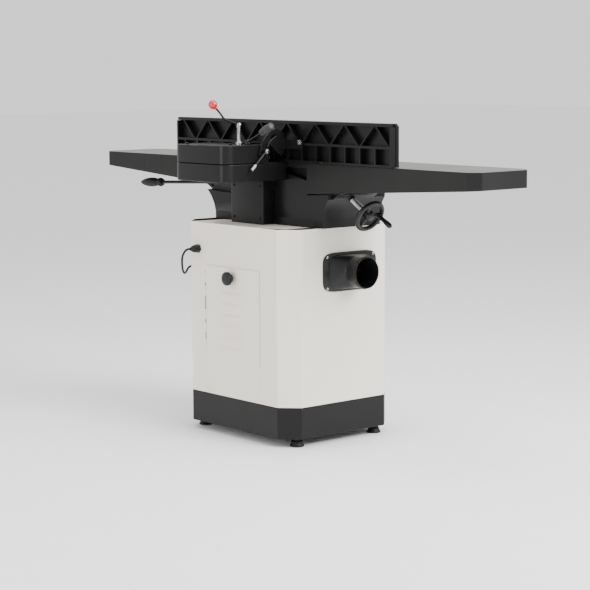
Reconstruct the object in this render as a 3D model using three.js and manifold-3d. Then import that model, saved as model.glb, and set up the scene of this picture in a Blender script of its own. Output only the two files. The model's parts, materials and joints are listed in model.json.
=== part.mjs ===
// An 8 inch floor-standing jointer. Millimetres, +Z up, X along the tables, -Y is the rear side.
// Everything is drawn about the centre of the cabinet's footprint, and the finished group is then moved
// so that the centre of the machine's bounding box stands over the origin.
import * as THREE from "three";
import { mergeVertices } from "three/addons/utils/BufferGeometryUtils.js";
import Module from "manifold-3d";

const wasm = await Module();
wasm.setup();

// ---- driving dimensions ----
const GAP = 0.3; // air between touching pieces
const TABLE_Z = 812;
const REAR_Y = -101; // rear edge of the tables
const FRONT_Y = 127; // front edge of the tables
const INFEED_END = -814;
const OUTFEED_END = 867.5;
const CABINET = { x: 249.5, y: 209.5, chamfer: 49, plinthLow: 25, shellLow: 117, top: 627.4, wall: 3 };
const SEAM_X = 124; // half width of the cabinet's rear and front panels
const HEAD = { x: -15, z: 774, r: 36, knifeR: 38, y0: -87.5, y1: 111.5 };
const WAY_SLOPE = THREE.MathUtils.degToRad(12);
const WAY = { x: 60, z: 793, inner: 60, outer: 78 }; // upper end of each way, and the walls that carry it
const CHEEK = { rear: -97, front: 121 }; // outer faces of the base casting
const PULLEY_Y = { low: -125, high: -113 };
const MOTOR = { x: -15, z: 300, r: 75, pulleyR: 45 };
const BOX = { x0: -122, x1: 120, y0: -332, low: 760, high: 811, round: 35 };
const CARRIAGE = { low: 813, high: 863, front: -170 };
const FENCE = { x0: -396, x1: 570, low: 813, high: 931, face: -85, plate: 10, rear: -113 };
const TILT = { y: -118, z: 822, r: 7, pinR: 4 }; // axis that the fence tilts about
const PORT = { y: 22.4, z: 498, r: 46.5, bore: 43, out: 77 };
const DOOR = { half: 124, low: 226, high: 502, thick: 3 };
const HINGE = { x: -127.4, y: -213.2, r: 3, bore: 1.9, pinR: 1.6 };
const KNOB_Z = 473;
const LEVER = { x: -262, z: 731, shaftR: 8 };
const WHEEL = {
  x: 361, z: 664, dip: THREE.MathUtils.degToRad(30), r: 50,
  at(t) { return [this.x + t * Math.cos(this.dip), 0, this.z - t * Math.sin(this.dip)]; },
};
const STUD = { y: -190, z: 845, r: 4 }; // clamp stud of the fence tilt
const POST = { x: 61, y: -230 }; // fence lock
const GUARD = { x: -90, y: 118, low: 816, high: 823, reach: 195, perRadian: 114.6, sweep: 0.67 };
const SHIFT = { x: -(INFEED_END + OUTFEED_END) / 2, y: -(BOX.y0 + CABINET.y) / 2 };

// ---- solids ----
function solidOf(geometry) {
  const bare = geometry.clone();
  bare.deleteAttribute("normal");
  bare.deleteAttribute("uv");
  const merged = mergeVertices(bare, 1e-4);
  return new wasm.Manifold(
    new wasm.Mesh({
      numProp: 3,
      vertProperties: merged.attributes.position.array,
      triVerts: new Uint32Array(merged.index.array),
    }),
  );
}

function box(x0, x1, y0, y1, z0, z1) {
  const geometry = new THREE.BoxGeometry(x1 - x0, y1 - y0, z1 - z0);
  return solidOf(geometry.translate((x0 + x1) / 2, (y0 + y1) / 2, (z0 + z1) / 2));
}

// The directions that a flat outline's own x, its own y and its depth take in the machine.
const AXES = {
  x: [new THREE.Vector3(0, 1, 0), new THREE.Vector3(0, 0, 1), new THREE.Vector3(1, 0, 0)],
  y: [new THREE.Vector3(0, 0, 1), new THREE.Vector3(1, 0, 0), new THREE.Vector3(0, 1, 0)],
  z: [new THREE.Vector3(1, 0, 0), new THREE.Vector3(0, 1, 0), new THREE.Vector3(0, 0, 1)],
};

// An outline extruded along an axis. Outlines across x are (y, z), across y are (x, z), across z are (x, y).
function prism(axis, outline, low, high) {
  const points = outline.map(([a, b]) => (axis === "y" ? new THREE.Vector2(b, a) : new THREE.Vector2(a, b)));
  const geometry = new THREE.ExtrudeGeometry(new THREE.Shape(points), {
    depth: high - low,
    bevelEnabled: false,
    steps: 1,
  });
  geometry.translate(0, 0, low);
  return solidOf(geometry.applyMatrix4(new THREE.Matrix4().makeBasis(...AXES[axis])));
}

// A round bar along an axis, centred on (a, b) of the two other axes, taken in the order of prism's outlines.
function bar(axis, a, b, radius, low, high, sides = 16) {
  const outline = arc(a, b, radius, 0, 360, sides).slice(0, -1);
  return prism(axis, outline, low, high);
}

function arc(a, b, radius, from, to, steps) {
  const points = [];
  for (let i = 0; i <= steps; i++) {
    const angle = THREE.MathUtils.degToRad(from + ((to - from) * i) / steps);
    points.push([a + radius * Math.cos(angle), b + radius * Math.sin(angle)]);
  }
  return points;
}

// A turned piece: profile points are (radius, distance along the direction from the base point).
function turned(profile, base, direction, sides = 16) {
  const points = profile.map(([r, d]) => new THREE.Vector2(r, d));
  const geometry = new THREE.LatheGeometry(points, sides);
  const turn = new THREE.Quaternion().setFromUnitVectors(
    new THREE.Vector3(0, 1, 0),
    new THREE.Vector3(...direction).normalize(),
  );
  geometry.applyQuaternion(turn).translate(...base);
  const solid = solidOf(geometry);
  return solid.volume() > 0 ? solid : solidOf(flipped(geometry));
}

function flipped(geometry) {
  const copy = geometry.clone();
  const index = copy.index.array;
  for (let i = 0; i < index.length; i += 3) [index[i + 1], index[i + 2]] = [index[i + 2], index[i + 1]];
  return copy;
}

// A rod between two points.
function rod(from, to, radius, sides = 10) {
  const a = new THREE.Vector3(...from);
  const along = new THREE.Vector3(...to).sub(a);
  return turned([[0, 0], [radius, 0], [radius, along.length()], [0, along.length()]], from, along.toArray(), sides);
}

function ball(centre, radius) {
  return solidOf(new THREE.SphereGeometry(radius, 12, 8).translate(...centre));
}

function join(...solids) {
  return solids.reduce((sum, next) => sum.add(next));
}

function cut(solid, ...tools) {
  return tools.reduce((rest, tool) => rest.subtract(tool), solid);
}

function octagon(inset) {
  const x = CABINET.x - inset;
  const y = CABINET.y - inset;
  const c = CABINET.chamfer - inset * (2 - Math.SQRT2);
  return [[x, c - y], [x, y - c], [x - c, y], [c - x, y], [-x, y - c], [-x, c - y], [c - x, -y], [x - c, -y]];
}

function roundedRect(x0, x1, y0, y1, r, steps = 5) {
  return [
    ...arc(x1 - r, y0 + r, r, -90, 0, steps),
    ...arc(x1 - r, y1 - r, r, 0, 90, steps),
    ...arc(x0 + r, y1 - r, r, 90, 180, steps),
    ...arc(x0 + r, y0 + r, r, 180, 270, steps),
  ];
}

// A rectangle whose corners are rounded on the y0 side only.
function rearRounded(x0, x1, y0, y1, r, steps = 7) {
  return [...arc(x1 - r, y0 + r, r, -90, 0, steps), [x1, y1], [x0, y1], ...arc(x0 + r, y0 + r, r, 180, 270, steps)];
}

// ---- materials ----
function paint(color, roughness, metalness) {
  return () => new THREE.MeshStandardMaterial({ color, roughness, metalness });
}
const white = paint(0xe6dfd4, 0.45, 0);
const blackPaint = paint(0x23201e, 0.4, 0.1);
const castIron = paint(0xc8c3be, 0.35, 0.9);
const steel = paint(0xa8a8a8, 0.3, 1);
const plastic = paint(0x161616, 0.5, 0);
const rubber = paint(0x101010, 0.8, 0);
const redGloss = paint(0xb01510, 0.2, 0);
const greenGloss = paint(0x1c7a35, 0.35, 0);
const greyPlastic = paint(0x55565a, 0.5, 0);

const machine = new THREE.Group();

function add(group, name, solid, material) {
  const mesh = solid.getMesh();
  const geometry = new THREE.BufferGeometry();
  geometry.setAttribute("position", new THREE.BufferAttribute(new Float32Array(mesh.vertProperties), 3));
  geometry.setIndex(new THREE.BufferAttribute(new Uint32Array(mesh.triVerts), 1));
  const node = new THREE.Mesh(geometry, material());
  node.name = name;
  group.add(node);
}

// ---- cabinet: plinth, four sheet-metal walls, top plate, feet ----
function makeCabinet(group) {
  const { plinthLow, shellLow, top, wall } = CABINET;
  const floor = plinthLow + 4;
  add(group, "plinth", cut(
    prism("z", octagon(0), plinthLow, shellLow),
    prism("z", octagon(wall), floor, shellLow + 1),
  ), blackPaint);

  const shell = cut(prism("z", octagon(0), shellLow + GAP, top), prism("z", octagon(wall), shellLow, top + 1));
  const far = 300;
  const infeedHalf = box(-far, GAP / 2 - SEAM_X, -far, far, 0, 900);
  const outfeedHalf = box(SEAM_X - GAP / 2, far, -far, far, 0, 900);
  add(group, "cabinet_infeed_shell", shell.intersect(infeedHalf), white);
  const portHole = bar("x", PORT.y, PORT.z, PORT.r, 200, 300);
  add(group, "cabinet_outfeed_shell", cut(shell.intersect(outfeedHalf), portHole), white);

  const half = SEAM_X - GAP / 2;
  const back = -CABINET.y;
  const knuckles = [300, 410].map((z) => bar("z", HINGE.x, HINGE.y, HINGE.r, z, z + 30));
  const doorway = box(-112, 112, back - 10, back + 10, DOOR.low + 12, DOOR.high - 12);
  const sheet = box(-half, half, back, back + wall, shellLow + GAP, top);
  const pads = [300, 410].map((z) => box(HINGE.x - 8, HINGE.x, back - 5.6, back - 0.001, z, z + 30));
  const carved = cut(sheet, doorway);
  add(group, "cabinet_rear_panel", carved, white);
  knuckles.forEach((knuckle, i) => {
    const leaf = cut(join(knuckle, pads[i]), bar("z", HINGE.x, HINGE.y, HINGE.bore, 0, 900));
    const clear = cut(leaf, box(-far, far, back - GAP, 0, 0, 900));
    add(group, `door_hinge_leaf_${i + 1}`, clear, white);
  });
  add(group, "cabinet_front_panel", box(-half, half, -back - wall, -back, shellLow + GAP, top), white);

  const chuteHole = box(-100, 225, -26, 56, 600, 650);
  const beltSlot = box(-78, 48, -134, -104, 600, 650);
  add(group, "cabinet_top_plate", cut(prism("z", octagon(wall + GAP), top - wall, top), chuteHole, beltSlot), white);

  [[215, -150], [215, 150], [-215, -150], [-215, 150]].forEach(([x, y], i) => {
    const profile = [[0, 0], [21, 0], [21, 5], [15.5, 15], [15.5, 17], [6, 17], [6, 24.7], [0, 24.7]];
    add(group, `levelling_foot_${i + 1}`, turned(profile, [x, y, 0], [0, 0, 1]), rubber);
  });
}

// ---- louvred door on a pin hinge, with a round knob ----
function makeDoor(group) {
  const outer = -CABINET.y - GAP - DOOR.thick;
  const inner = -CABINET.y - GAP;
  const leaf = box(-DOOR.half, DOOR.half, outer, inner, DOOR.low, DOOR.high);
  const barrels = [250, 340, 450].map((z) => {
    const tab = box(HINGE.x, 1 - DOOR.half, outer, outer + 2, z, z + 30);
    return cut(join(bar("z", HINGE.x, HINGE.y, HINGE.r, z, z + 30), tab), bar("z", HINGE.x, HINGE.y, HINGE.bore, 0, 900));
  });
  let door = join(leaf, ...barrels);
  for (let k = 0; k < 6; k++) {
    const z = 252.6 + 32.8 * k;
    const slot = box(-50, 50, outer - 1, inner + 1, z, z + 5);
    const hood = prism("x", [[outer + 0.5, z + 5], [outer + 0.5, z + 13], [outer - 4, z + 3], [outer - 4, z + 1]], -50, 50);
    door = join(cut(door, slot), hood);
  }
  door = cut(door, bar("y", 0, KNOB_Z, 5.3, outer - 5, inner + 5));
  add(group, "access_door", door, white);
  add(group, "door_hinge_pin", bar("z", HINGE.x, HINGE.y, HINGE.pinR, 248, 482, 16), steel);
  const knob = [[0, -12], [9, -12], [9, -5], [5, -5], [5, 3.3], [13, 3.3], [15, 10], [20.5, 15], [20.5, 24], [16, 27], [0, 27]];
  add(group, "door_knob", turned(knob, [0, outer, KNOB_Z], [0, -1, 0]), plastic);
}

// ---- dust port on the outfeed end ----
function makeDustPort(group) {
  const face = CABINET.x + GAP;
  const half = { y: 87, z: 57, bulge: 17 };
  const outline = [];
  for (const side of [1, -1]) {
    for (let i = 0; i <= 8; i++) {
      const t = -1 + (2 * i) / 8;
      outline.push([PORT.y + side * (half.y + half.bulge * (1 - t * t)), PORT.z + side * half.z * t]);
    }
  }
  const flange = prism("x", outline, face, face + 4);
  const hood = turned([[0, 0], [60, 0], [60, 12], [PORT.r, 36], [PORT.r, PORT.out - GAP], [0, PORT.out - GAP]],
    [face, PORT.y, PORT.z], [1, 0, 0], 24);
  const bore = bar("x", PORT.y, PORT.z, PORT.bore, face - 1, face + 90, 24);
  const cross = [
    box(face, face + 6, PORT.y - 45, PORT.y + 45, PORT.z - 2.5, PORT.z + 2.5),
    box(face, face + 6, PORT.y - 2.5, PORT.y + 2.5, PORT.z - 45, PORT.z + 45),
  ];
  add(group, "dust_port", join(cut(join(flange, hood), bore), ...cross), plastic);
}

// ---- base casting: two walls that carry the ways, arched ends, and seats for the bearing blocks ----
const ARCH = {
  infeed: [[-224, 651], [-231, 673], [-244, 694], [-260, 711], [-279, 723], [-300, 732]],
  outfeed: [[294, 711], [284, 696], [277, 676], [273, 651]],
};
const wayZ = (distance) => WAY.z - (distance - WAY.x) * Math.tan(WAY_SLOPE);
const SEAT_Z = 730;

function makeBase(group) {
  const outline = [
    [-224, 628], ...ARCH.infeed, [-336, wayZ(336)], [-60, WAY.z], [-60, SEAT_Z], [50, SEAT_Z], [50, WAY.z],
    [60, WAY.z],
    [336, wayZ(336)], [336, 731], [312, 724], ...ARCH.outfeed, [273, 628],
  ].reverse();
  const block = prism("y", outline, -WAY.outer, WAY.outer);
  const well = [
    box(-212, 260, -WAY.inner, WAY.inner, 600, 900),
    box(-400, -200, -WAY.inner, WAY.inner, 690, 900),
    box(250, 400, -WAY.inner, WAY.inner, 725, 900),
  ];
  const cheek = [
    [-224, 628], ...ARCH.infeed.slice(0, 4), [-264, 714], [-190, 709.5], [-128, 709], [-128, 777], [-62, 782], [-62, SEAT_Z],
    [52, SEAT_Z], [52, 782], [100, 782], [203, 761], [203, 719.5], [294, 724.5], ...ARCH.outfeed, [273, 628],
  ].reverse();
  const cheeks = [prism("y", cheek, CHEEK.rear, 1 - WAY.outer), prism("y", cheek, WAY.outer - 1, CHEEK.front)];
  const pocket = [[-206, 600], [-206, 692], [-118, 692], [-118, 722], [194, 722], [194, 704], [255, 704], [255, 600]];
  const frontPocket = prism("y", pocket.reverse(), WAY.outer + 1, CHEEK.front - 8);
  const flange = cut(
    prism("z", roundedRect(-230, 240, CHEEK.rear - 1, CHEEK.front + 1, 14), 627.7, 651),
    box(-212, 226, -WAY.inner, WAY.inner, 600, 700),
  );
  const seats = [box(-52, 24, -110, -70, 700, SEAT_Z), box(-52, 24, 70, FRONT_Y, 700, SEAT_Z)];
  const shaftHole = bar("y", LEVER.x, LEVER.z, 8.3, -90, 90);
  const screwHole = rod(WHEEL.at(-150), WHEEL.at(-40), 9.3);
  const casting = join(cut(block, ...well), flange, ...cheeks, ...seats);
  add(group, "base_casting", cut(casting, frontPocket, shaftHole, screwHole), blackPaint);
}

// ---- tables: a ground plate with skirts, and runners on the ways ----
function makeTable(group, name, side) {
  const end = side < 0 ? INFEED_END : OUTFEED_END;
  const lip = side < 0 ? -52 : 22;
  const corner = 29.5;
  const plateLow = 797;
  const plate = prism("z", side < 0
    ? [[lip, REAR_Y], [lip, FRONT_Y], [end + corner, FRONT_Y], [end, FRONT_Y - corner], [end, REAR_Y + corner], [end + corner, REAR_Y]]
    : [[lip, FRONT_Y], [lip, REAR_Y], [end - corner, REAR_Y], [end, REAR_Y + corner], [end, FRONT_Y - corner], [end - corner, FRONT_Y]],
  700, TABLE_Z);
  const skirtLow = (x) => (side < 0 ? 766.5 - 0.0654 * (x + 784) : 762.3 - 0.062 * (837.5 - x));
  const near = side < 0 ? -130 : 205;
  const below = prism("y", [
    [end + 2 * side, 600], [end + 2 * side, skirtLow(end)], [near, skirtLow(near)],
    [near, plateLow], [lip - 5 * side, plateLow], [lip - 5 * side, 600],
  ], REAR_Y - 5, FRONT_Y + 5);
  const roomStart = lip + 20 * side;
  const room = [
    [roomStart, REAR_Y + 8], [end - 33 * side, REAR_Y + 8], [end - 9 * side, REAR_Y + 32],
    [end - 9 * side, FRONT_Y - 32], [end - 33 * side, FRONT_Y - 8], [roomStart, FRONT_Y - 8],
  ];
  const hollow = prism("z", side < 0 ? room.reverse() : room, 600, plateLow);
  const runnerEnd = 345;
  const rail = [
    [side * WAY.x, wayZ(WAY.x) + GAP], [side * runnerEnd, wayZ(runnerEnd) + GAP],
    [side * runnerEnd, plateLow + 1], [side * WAY.x, plateLow + 1],
  ];
  const runners = [prism("y", rail, WAY.inner + 2, WAY.outer), prism("y", rail, -WAY.outer, -WAY.inner - 2)];
  add(group, name, join(cut(plate, below, hollow), ...runners), castIron);
}

// ---- cutterhead, its bearing blocks, and the belt drive ----
function makeDrive(stand, cutter, motorGroup) {
  const { x, z } = HEAD;
  const gullets = [0, 120, 240].map((degrees) => {
    const angle = THREE.MathUtils.degToRad(degrees);
    const [gx, gz] = [x + HEAD.r * Math.cos(angle), z + HEAD.r * Math.sin(angle)];
    return bar("y", gx, gz, 7, HEAD.y0 - 1, HEAD.y1 + 1, 10);
  });
  const knives = [0, 120, 240].map((degrees) => {
    const angle = THREE.MathUtils.degToRad(degrees - 14);
    const along = (radius, across) => [
      x + radius * Math.cos(angle) - across * Math.sin(angle), z + radius * Math.sin(angle) + across * Math.cos(angle),
    ];
    return prism("y", [along(24, -1.5), along(HEAD.knifeR, -1.5), along(HEAD.knifeR, 1.5), along(24, 1.5)],
      HEAD.y0, HEAD.y1);
  });
  const drum = cut(bar("y", x, z, HEAD.r, HEAD.y0, HEAD.y1, 24), ...gullets);
  const journal = bar("y", x, z, 10, PULLEY_Y.low - 2, FRONT_Y - 1);
  add(cutter, "cutterhead", join(drum, ...knives, journal), steel);
  add(cutter, "cutterhead_pulley", cut(
    bar("y", x, z, 25, PULLEY_Y.low, PULLEY_Y.high), bar("y", x, z, 10 + GAP, PULLEY_Y.low - 1, PULLEY_Y.high + 1),
  ), castIron);
  [[REAR_Y, HEAD.y0 - 0.5], [HEAD.y1 + 0.5, FRONT_Y - 2]].forEach(([low, high], i) => {
    const block = box(-48, 18, low, high, SEAT_Z + GAP, 805);
    const bore = bar("y", x, z, 10 + GAP, low - 1, high + 1);
    add(stand, i ? "front_bearing_block" : "rear_bearing_block", cut(block, bore), castIron);
  });

  const m = MOTOR;
  const shell = bar("y", m.x, m.z, m.r, -85, 145, 24);
  const foot = box(m.x - 60, m.x + 60, -60, 120, 216.3, 245);
  const terminalBox = box(m.x + 50, m.x + 100, 0, 70, m.z - 30, m.z + 30);
  add(stand, "motor", cut(join(shell, foot, terminalBox), bar("y", m.x, m.z, 9.5, -86, 60)), greyPlastic);
  const rotor = join(bar("y", m.x, m.z, 9, -128, 59), bar("y", m.x, m.z, m.pulleyR, PULLEY_Y.low, PULLEY_Y.high, 24));
  add(motorGroup, "motor_pulley", rotor, castIron);
  const mountTop = 216;
  add(stand, "motor_mount", join(
    box(-115, 85, -70, 130, mountTop - 8, mountTop),
    box(-115, -107, -70, 130, CABINET.plinthLow + 4 + GAP, mountTop),
    box(77, 85, -70, 130, CABINET.plinthLow + 4 + GAP, mountTop),
  ), blackPaint);
  const beltLow = PULLEY_Y.low + 1;
  const beltHigh = PULLEY_Y.high - 1;
  const loop = (grow) => beltOutline(25 + GAP + grow, m.pulleyR + GAP + grow);
  add(stand, "drive_belt", cut(
    prism("y", loop(4), beltLow, beltHigh), prism("y", loop(0), beltLow - 1, beltHigh + 1),
  ), rubber);
}

// The outline of a belt round the cutterhead pulley and the motor pulley, straight below each other.
function beltOutline(topR, lowR) {
  const lean = THREE.MathUtils.radToDeg(Math.asin((lowR - topR) / (HEAD.z - MOTOR.z)));
  return [
    ...arc(HEAD.x, HEAD.z, topR, lean, 180 - lean, 12),
    ...arc(MOTOR.x, MOTOR.z, lowR, 180 - lean, 360 + lean, 20),
  ];
}

// ---- belt guard, chip chute and the fixed part of the fence support ----
function makeGuards(group) {
  const wall = 3;
  const guardTop = BOX.low - 1;
  add(group, "belt_guard", cut(
    prism("z", roundedRect(-96, 53, -138, -60, 4, 3), 628, guardTop),
    box(-96 + wall, 53 - wall, -138 + wall, 0, 600, 800),
    box(-200, 200, -98, 0, 600, 800),
  ), blackPaint);
  const hopper = [[-120, 620], [244, 620], [244, 450], [205, 450]];
  const inner = [[-112, 640], [260, 640], [260, 453], [206, 453], [-112, 617]];
  add(group, "chip_chute", cut(prism("y", hopper, -30, 75), prism("y", inner, -27, 72)), castIron);
  add(group, "fence_support", cut(
    prism("z", rearRounded(BOX.x0, BOX.x1, BOX.y0, REAR_Y - 1, BOX.round), BOX.low, BOX.high),
    prism("z", rearRounded(BOX.x0 + 6, BOX.x1 - 6, BOX.y0 + 6, REAR_Y - 7, BOX.round - 6), 700, BOX.high - 6),
    box(-50, 20, -120, -90, 700, BOX.high - 6),
  ), blackPaint);
}

// ---- fence carriage, lock lever and carriage handle ----
function makeCarriage(carriage, lock, handle, tiltLock) {
  const { low, high, front } = CARRIAGE;
  const shell = cut(
    prism("z", rearRounded(BOX.x0, BOX.x1, BOX.y0, front, BOX.round), low, high),
    prism("z", rearRounded(BOX.x0 + 6, BOX.x1 - 6, BOX.y0 + 6, front - 6, BOX.round - 6), low - 5, high - 6),
  );
  const arms = [[-42, -25], [45, 62]].map(([x0, x1]) => cut(
    join(box(x0, x1, front - 1, TILT.y - 6, TILT.z - TILT.r, TILT.z + TILT.r), bar("x", TILT.y, TILT.z, TILT.r, x0, x1)),
    bar("x", TILT.y, TILT.z, TILT.pinR + GAP, x0 - 1, x1 + 1),
  ));
  const studLug = box(BOX.x1 - 26, BOX.x1, STUD.y - 15, front - 1, STUD.z - 12, high - 0.5);
  add(carriage, "fence_carriage", join(shell, ...arms, studLug), blackPaint);
  add(carriage, "fence_hinge_pin", bar("x", TILT.y, TILT.z, TILT.pinR, -44, 64), steel);
  const stud = turned([[0, 0], [STUD.r, 0], [STUD.r, 8.8], [0, 8.8]], [BOX.x1 + GAP, STUD.y, STUD.z], [1, 0, 0]);
  add(carriage, "tilt_clamp_stud", stud, steel);

  const base = high + GAP;
  const tip = [POST.x - 44, POST.y - 59, 978];
  const elbow = [POST.x - 25, POST.y - 30, base + 72];
  add(lock, "fence_lock_lever", join(
    turned([[0, 0], [10, 0], [10, 7], [5.5, 9], [5.5, 62], [0, 62]], [POST.x, POST.y, base], [0, 0, 1]),
    rod([POST.x, POST.y, base + 57], elbow, 3.2),
    ball(elbow, 3.2),
    rod(elbow, tip, 3.2),
  ), blackPaint);
  const knob = cut(ball(tip, 13), rod(elbow, tip, 3.5), ball(tip, 3.5));
  add(lock, "fence_lock_ball", knob, redGloss);

  const hub = [72, -206];
  const root = [hub[0], hub[1], base + 9];
  const bend = [128, -208, 894];
  add(handle, "carriage_handle", join(
    turned([[0, 0], [9, 0], [9, 9], [0, 14]], [...hub, base], [0, 0, 1]),
    rod(root, bend, 4),
    rod(bend, [186, -212, 920], 3.5),
  ), steel);
  const grip = cut(rod([136, -208.5, 897.6], [187, -212.1, 920.5], 12), rod([126, -208, 893], [190, -212.3, 921.8], 3.9));
  add(handle, "carriage_handle_grip", grip, greyPlastic);

  const leverX = BOX.x1 + 9.5;
  const end = [leverX + 5, STUD.y - 54, STUD.z - 52];
  add(tiltLock, "tilt_lock_lever", join(
    turned([[0, 0], [9, 0], [9, 10], [6, 14], [0, 14]], [leverX, STUD.y, STUD.z], [1, 0, 0]),
    rod([leverX + 5, STUD.y, STUD.z], end, 4),
    rod([leverX + 5, STUD.y - 40.2, STUD.z - 38.7], end, 5.5),
  ), blackPaint);
}

// ---- fence: ribbed casting with a hinge lug, and the slotted arm that the clamp stud holds ----
function makeFence(group) {
  const { x0, x1, low, high, face, plate, rear } = FENCE;
  const back = face - plate;
  const c = 8;
  const panel = prism("y", [[x0, low], [x1, low], [x1, high - c], [x1 - c, high], [x0 + c, high], [x0, high - c]], back, face);
  const rail = (z0, z1) => box(x0 + 2, x1 - 2, rear, back + 1, z0, z1);
  const pieces = [panel, rail(low, low + 6), rail(862, 869), box(x0 + c, x1 - c, rear, back + 1, high - 9, high)];
  const postPitch = 61.1;
  for (let x = x1 - 8; x > x0 + 20; x -= postPitch) {
    pieces.push(box(x, x + 6, rear, back + 1, low + 3, x === x1 - 8 ? high - 10 : 865));
  }
  pieces.push(box(x0 + 2, x0 + 8, rear, back + 1, low + 3, high - 10));
  const bays = 8;
  const bay = 123.5;
  for (let i = 0; i < bays; i++) {
    const right = x1 - 6 - i * bay;
    const peak = right - bay / 2;
    const left = right - bay;
    pieces.push(prism("y", [[right, 866], [right - 6, 866], [peak - 3, high - 4], [peak + 3, high - 4]], rear, back + 1));
    if (left > x0) {
      pieces.push(prism("y", [[left, 866], [left + 6, 866], [peak + 3, high - 4], [peak - 3, high - 4]], rear, back + 1));
    }
  }
  const lug = join(
    box(-24, 44, TILT.y, back + 1, TILT.z - TILT.r, TILT.z + TILT.r), bar("x", TILT.y, TILT.z, TILT.r, -24, 44),
  );
  const pinHole = bar("x", TILT.y, TILT.z, TILT.pinR + GAP, -60, 80);
  const lugRoom = [box(-43, -24.5, -140, -106, 812, 833), box(44.5, 63, -140, -106, 812, 833)];
  add(group, "fence", cut(join(...pieces, lug), pinHole, ...lugRoom), blackPaint);

  const armX = BOX.x1 + 2.5;
  const studRadius = Math.hypot(STUD.y - TILT.y, STUD.z - TILT.z);
  const slot = [
    ...arc(TILT.y, TILT.z, studRadius + 4.6, 113, 167, 10), ...arc(TILT.y, TILT.z, studRadius - 4.6, 167, 113, 10),
  ];
  const blade = [
    ...arc(TILT.y, TILT.z, studRadius + 18, 172, 110, 10), [-117, 896], [-117, 850],
    [-121, 836], ...arc(TILT.y, TILT.z, 14, 110, 140, 3), ...arc(TILT.y, TILT.z, studRadius - 10, 140, 172, 6),
  ];
  const arm = cut(prism("x", blade, armX, armX + 5), prism("x", slot, armX - 1, armX + 6));
  const flange = box(armX, 206, rear - 6, rear - GAP, 851, 878);
  add(group, "tilt_arm", join(arm, flange), greyPlastic);
}

// ---- infeed lever, outfeed handwheel, switch and cutterhead guard ----
function makeInfeedLever(group) {
  const { x, z, shaftR } = LEVER;
  const tip = [-732, 0, 709];
  const neck = [-634, 0, 713.5];
  const shaft = bar("y", x, z, shaftR, -58, 58);
  add(group, "infeed_lever", join(shaft, bar("y", x, z, 15, -14, 14), rod([x, 0, z], neck, 5.5)), blackPaint);
  const grip = join(rod([-638, 0, 713.3], tip, 15, 12), ball(tip, 15));
  add(group, "infeed_lever_grip", cut(grip, rod([x, 0, z], [-668.5, 0, 716.5], 5.8)), rubber);
}

function makeHandwheel(group, gripGroup) {
  const along = [Math.cos(WHEEL.dip), 0, -Math.sin(WHEEL.dip)];
  const rim = turned([[36, -5], [46, -7], [WHEEL.r, -3], [WHEEL.r, 4], [46, 7], [40, 7], [36, -5]], WHEEL.at(0), along, 24);
  const hub = turned([[0, -16], [15, -16], [15, 4], [11, 9], [0, 9]], WHEEL.at(0), along);
  const web = cut(turned([[0, -4], [38, -4], [38, 1], [0, 1]], WHEEL.at(0), along, 24), ...[60, 180, 300].map((degrees) => {
    const angle = THREE.MathUtils.degToRad(degrees);
    const [y, u] = [24 * Math.cos(angle), 24 * Math.sin(angle)];
    const centre = WHEEL.at(-10);
    const from = [centre[0] + u * Math.sin(WHEEL.dip), y, centre[2] + u * Math.cos(WHEEL.dip)];
    return turned([[0, 0], [8, 0], [8, 20], [0, 20]], from, along, 10);
  }));
  const bolt = WHEEL.at(3);
  bolt[1] = 34;
  const wheel = cut(join(rim, web, hub), turned([[0, -40], [9, -40], [9, -6], [0, -6]], WHEEL.at(0), along));
  const stub = turned([[0, -5], [4, -5], [4, 12], [0, 12]], bolt, along, 10);
  add(group, "outfeed_handwheel", join(wheel, stub), plastic);
  add(group, "outfeed_screw", turned([[0, 0], [8.7, 0], [8.7, 143.5], [0, 143.5]], WHEEL.at(-150), along), steel);
  const profile = [[0, 0], [7, 0], [5.5, 10], [8, 34], [8, 46], [5, 51], [0, 51]];
  const grip = turned(profile, [bolt[0] + 5 * along[0], bolt[1], bolt[2] + 5 * along[2]], along, 12);
  const socket = turned([[0, -3], [4.4, -3], [4.4, 13], [0, 13]], bolt, along, 10);
  add(gripGroup, "handwheel_grip", cut(grip, socket), plastic);
}

function makeSwitch(stand, start, stop) {
  const front = 182;
  const recess = (x, r) => bar("y", x, 676, r, front - 10, front + 1);
  add(stand, "switch_box", cut(box(-130, -50, CHEEK.front + GAP, front, 653, 699), recess(-110, 8.3), recess(-74, 12.3)), plastic);
  const button = (x, r, out) => bar("y", x, 676, r, front - 5, front + out);
  add(start, "start_button", button(-110, 8, 1), greenGloss);
  add(stop, "stop_button", button(-74, 12, 6), redGloss);
}

// The guard's working edge is the envelope that keeps a constant distance to the fence as the two move together:
// at an angle t the edge touches a line at distance reach - perRadian * t from the pivot.
function makeCutterGuard(group, stand) {
  const { x, y, low, high, reach, perRadian, sweep } = GUARD;
  const edge = [];
  const steps = 14;
  for (let i = 0; i <= steps; i++) {
    const t = (sweep * i) / steps;
    const h = reach - perRadian * t;
    edge.push([x - h * Math.sin(t) + perRadian * Math.cos(t), y - h * Math.cos(t) - perRadian * Math.sin(t)]);
  }
  const outline = [...edge.reverse(), [x + 112, y - 60], [x + 60, y + 4], ...arc(x, y, 16, 60, 210, 10)];
  const plate = cut(prism("z", outline, low, high), bar("z", x, y, 6 + GAP, low - 1, high + 1));
  add(group, "cutterhead_guard", plate, castIron);
  add(stand, "guard_pivot", turned([[0, 0], [9, 0], [9, 2.8], [6, 2.8], [6, 14], [0, 14]], [x, y, TABLE_Z + GAP], [0, 0, 1]), steel);
}

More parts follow.
